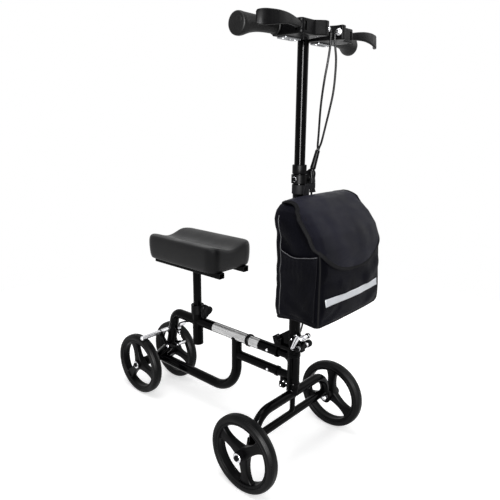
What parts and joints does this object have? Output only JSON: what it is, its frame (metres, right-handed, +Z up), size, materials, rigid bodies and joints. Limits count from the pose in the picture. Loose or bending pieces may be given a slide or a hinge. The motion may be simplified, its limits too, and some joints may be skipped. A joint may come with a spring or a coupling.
{
  "type": "knee walker",
  "caption": "Steerable knee walker: folding column, height-set handlebar with brake levers, crowned knee pad on a post, spoked wheels, rear tyre brake and a front cloth bag.",
  "frame": {"origin": "centre of the footprint on the floor under the whole walker, steering straight", "axes": "+Z up, -Y forward in the riding direction, +X to the rider's left"},
  "size_m": [0.4484, 0.842, 1.0965],
  "materials": {
    "frame_paint": "gloss black paint",
    "zinc": "bright plated steel",
    "black_plastic": "satin moulded plastic",
    "tyre_grey": "matt solid tyre",
    "black_rubber": "matt rubber",
    "pad_cover": "smooth synthetic leather",
    "bag_cloth": "woven nylon",
    "cable_black": "satin cable sheath",
    "clamp_grey": "bead blasted"
  },
  "bodies": {
    "frame": {"main_frame": "frame_paint", "head_tube": "frame_paint", "head_bearing_lower": "zinc", "head_bearing_upper": "zinc", "joint_screw_upper": "zinc", "joint_screw_lower": "zinc", "stop_bumper": "black_rubber", "rear_axle": "zinc", "rear_axle_nut": "zinc", "brake_pivot_bolt": "zinc", "cable_adjuster_rear": "zinc", "seat_collar": "black_plastic", "cable_frame": "cable_black"},
    "steerer": {"front_axle_beam": "frame_paint", "axle_bolt_front_right": "zinc", "axle_bolt_front_left": "zinc", "axle_nut_front_right": "zinc", "axle_nut_front_left": "zinc", "hinge_base": "frame_paint", "hinge_pin": "zinc"},
    "column": {"outer_column": "frame_paint", "column_bush": "black_plastic", "column_clamp": "black_plastic", "clamp_bolt": "black_plastic", "qr_skewer": "zinc", "qr_nut": "black_plastic", "bag_body": "bag_cloth", "bag_strap": "bag_cloth", "cable_junction": "black_plastic", "cable_lower": "cable_black"},
    "quick_release_lever": {"qr_lever": "zinc"},
    "column_hand_knob": {"column_knob": "black_plastic"},
    "bag_flap_sheet": {"bag_flap": "bag_cloth"},
    "handlebar_assembly": {"inner_column": "frame_paint", "handlebar": "frame_paint", "grip_right": "black_rubber", "brake_housing_right": "black_plastic", "barrel_adjuster_right": "zinc", "housing_clamp_right": "clamp_grey", "cable_upper_right": "cable_black", "grip_left": "black_rubber", "brake_housing_left": "black_plastic", "barrel_adjuster_left": "zinc", "housing_clamp_left": "clamp_grey", "cable_upper_left": "cable_black"},
    "rear_brake": {"brake_yoke": "frame_paint"},
    "seat": {"seat_post": "frame_paint", "seat_bracket": "frame_paint", "seat_pad": "pad_cover"},
    "seat_hand_knob": {"seat_knob": "black_plastic"},
    "rear_wheel_right": {"tyre_rear_right": "tyre_grey", "rim_rear_right": "black_plastic"},
    "front_wheel_right": {"tyre_front_right": "tyre_grey", "rim_front_right": "black_plastic"},
    "lever_right": {"brake_lever_right": "black_plastic"},
    "rear_wheel_left": {"tyre_rear_left": "tyre_grey", "rim_rear_left": "black_plastic"},
    "front_wheel_left": {"tyre_front_left": "tyre_grey", "rim_front_left": "black_plastic"},
    "lever_left": {"brake_lever_left": "black_plastic"}
  },
  "joints": [
    {"name": "steering", "type": "hinge", "parent": "frame", "child": "steerer", "pos_m": [0, -0.257, 0.2528], "axis": [0, 0, 1], "range_deg": [-35, 35]},
    {"name": "column_fold", "type": "hinge", "parent": "steerer", "child": "column", "pos_m": [0, -0.217, 0.3301], "axis": [-1, 0, 0], "range_deg": [0, 40], "deforming": ["cable_frame"]},
    {"name": "quick_release", "type": "hinge", "parent": "column", "child": "quick_release_lever", "pos_m": [-0.0211, -0.281, 0.3235], "axis": [0, -0.9829, -0.184], "range_deg": [0, 120]},
    {"name": "column_knob_turn", "type": "hinge", "parent": "column", "child": "column_hand_knob", "pos_m": [0.04, -0.257, 0.754], "axis": [1, 0, 0], "continuous": true},
    {"name": "bag_flap_open", "type": "hinge", "parent": "column", "child": "bag_flap_sheet", "pos_m": [0, -0.2811, 0.7153], "axis": [-1, 0, 0], "range_deg": [0, 50]},
    {"name": "handlebar_height", "type": "slide", "parent": "column", "child": "handlebar_assembly", "axis": [0, 0, 1], "range_m": [-0.2, 0], "deforming": ["cable_upper_right", "cable_upper_left"]},
    {"name": "brake_lever_right_pull", "type": "hinge", "parent": "handlebar_assembly", "child": "lever_right", "pos_m": [-0.092, -0.318, 1.077], "axis": [0, 0, -1], "range_deg": [0, 12], "stiffness_Nm_per_rad": 0.8, "springref_deg": -20.05},
    {"name": "brake_lever_left_pull", "type": "hinge", "parent": "handlebar_assembly", "child": "lever_left", "pos_m": [0.092, -0.318, 1.077], "axis": [0, 0, 1], "range_deg": [0, 12], "stiffness_Nm_per_rad": 0.8, "springref_deg": -20.05},
    {"name": "rear_brake_swing", "type": "hinge", "parent": "frame", "child": "rear_brake", "pos_m": [0, 0.245, 0.165], "axis": [-1, 0, 0], "range_deg": [0, 3], "stiffness_Nm_per_rad": 0.8, "springref_deg": -20.05},
    {"name": "seat_height", "type": "slide", "parent": "frame", "child": "seat", "axis": [0, 0, 1], "range_m": [-0.1, 0]},
    {"name": "seat_knob_turn", "type": "hinge", "parent": "frame", "child": "seat_hand_knob", "pos_m": [0, 0.08, 0.3275], "axis": [0, 1, 0], "continuous": true},
    {"name": "front_wheel_right_spin", "type": "hinge", "parent": "steerer", "child": "front_wheel_right", "pos_m": [-0.193, -0.257, 0.1], "axis": [1, 0, 0], "continuous": true},
    {"name": "rear_wheel_right_spin", "type": "hinge", "parent": "frame", "child": "rear_wheel_right", "pos_m": [-0.076, 0.321, 0.1], "axis": [1, 0, 0], "continuous": true},
    {"name": "front_wheel_left_spin", "type": "hinge", "parent": "steerer", "child": "front_wheel_left", "pos_m": [0.193, -0.257, 0.1], "axis": [1, 0, 0], "continuous": true},
    {"name": "rear_wheel_left_spin", "type": "hinge", "parent": "frame", "child": "rear_wheel_left", "pos_m": [0.076, 0.321, 0.1], "axis": [1, 0, 0], "continuous": true}
  ],
  "couplings": [
    {"joint": "rear_brake_swing", "follows": "brake_lever_right_pull", "ratio": 0.25}
  ]
}
